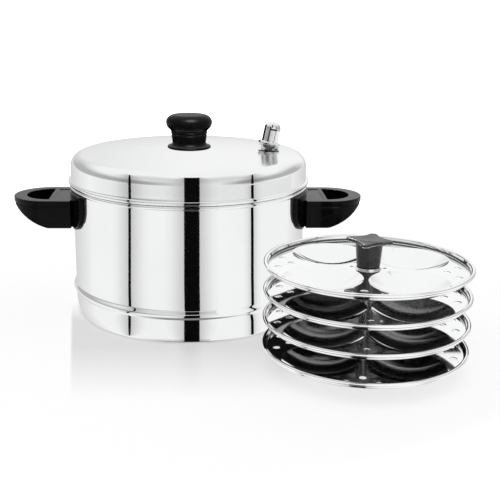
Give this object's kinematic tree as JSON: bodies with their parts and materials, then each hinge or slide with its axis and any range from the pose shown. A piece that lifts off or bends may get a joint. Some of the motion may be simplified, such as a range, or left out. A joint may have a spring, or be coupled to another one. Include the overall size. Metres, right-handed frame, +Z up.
{
  "type": "idli steamer",
  "caption": "Round steel steaming pot with side handles, domed lid, knob and whistle, and a stand of round plates with pressed cups on a rod.",
  "frame": {"origin": "centre of the pot's flat base, on the surface that it stands on", "axes": "+Z up; the two handles lie along X, with the whistle on the +X side; the stand of plates stands beside the pot towards +X and -Y"},
  "size_m": [0.4184, 0.3683, 0.1984],
  "materials": {
    "polished_steel": "mirror polished stainless steel sheet",
    "plain_steel": "bright turned steel",
    "bakelite": "black moulded phenolic, semi-gloss",
    "grey_plastic": "dark grey moulded plastic, satin",
    "brass": "machined",
    "silicone": "soft silicone, matte"
  },
  "bodies": {
    "pot": {"pot_body": "polished_steel", "boss_left": "plain_steel", "boss_right": "plain_steel", "handle_left": "bakelite", "handle_right": "bakelite", "handle_washer_left": "plain_steel", "handle_washer_right": "plain_steel", "handle_screw_left": "plain_steel", "handle_screw_right": "plain_steel"},
    "lid": {"lid_shell": "polished_steel", "lid_knob": "bakelite", "knob_insert": "brass", "knob_washer": "plain_steel", "knob_screw": "plain_steel", "vent_stem": "polished_steel", "vent_gasket": "silicone", "vent_nut": "plain_steel"},
    "whistle": {"whistle": "polished_steel"},
    "stand": {"stand_foot": "polished_steel", "stand_rod": "plain_steel", "foot_spacer": "polished_steel", "spacer_1": "polished_steel", "spacer_2": "polished_steel", "spacer_3": "polished_steel", "top_washer": "polished_steel"},
    "plate_1": {"idli_plate_1": "polished_steel"},
    "plate_2": {"idli_plate_2": "polished_steel"},
    "plate_3": {"idli_plate_3": "polished_steel"},
    "plate_4": {"idli_plate_4": "polished_steel"},
    "bush": {"knob_bush": "brass"},
    "knob": {"star_knob": "grey_plastic"}
  },
  "joints": [
    {"name": "lid_lift", "type": "slide", "parent": "pot", "child": "lid", "axis": [0, 0, 1], "range_m": [0, 0.12]},
    {"name": "whistle_lift", "type": "slide", "parent": "lid", "child": "whistle", "axis": [0.1977, 0.0299, 0.9798], "range_m": [0, 0.03]},
    {"name": "stand_lift", "type": "slide", "parent": "pot", "child": "stand", "axis": [0, 0, 1], "range_m": [0, 0.21]},
    {"name": "plate_1_turn", "type": "hinge", "parent": "stand", "child": "plate_1", "pos_m": [0.15442, -0.1588, 0.0886], "axis": [0, 0, 1], "continuous": true},
    {"name": "plate_2_turn", "type": "hinge", "parent": "stand", "child": "plate_2", "pos_m": [0.15442, -0.1588, 0.064], "axis": [0, 0, 1], "continuous": true},
    {"name": "plate_3_turn", "type": "hinge", "parent": "stand", "child": "plate_3", "pos_m": [0.15442, -0.1588, 0.0394], "axis": [0, 0, 1], "continuous": true},
    {"name": "plate_4_turn", "type": "hinge", "parent": "stand", "child": "plate_4", "pos_m": [0.15442, -0.1588, 0.0148], "axis": [0, 0, 1], "continuous": true},
    {"name": "knob_rise", "type": "slide", "parent": "stand", "child": "bush", "axis": [0, 0, 1], "range_m": [0, 0.015]},
    {"name": "knob_turn", "type": "hinge", "parent": "bush", "child": "knob", "pos_m": [0.15442, -0.1588, 0.102], "axis": [0, 0, 1], "range_deg": [0, 5400]}
  ],
  "couplings": [
    {"joint": "knob_rise", "follows": "knob_turn", "m_per_rad": 0.000159}
  ]
}
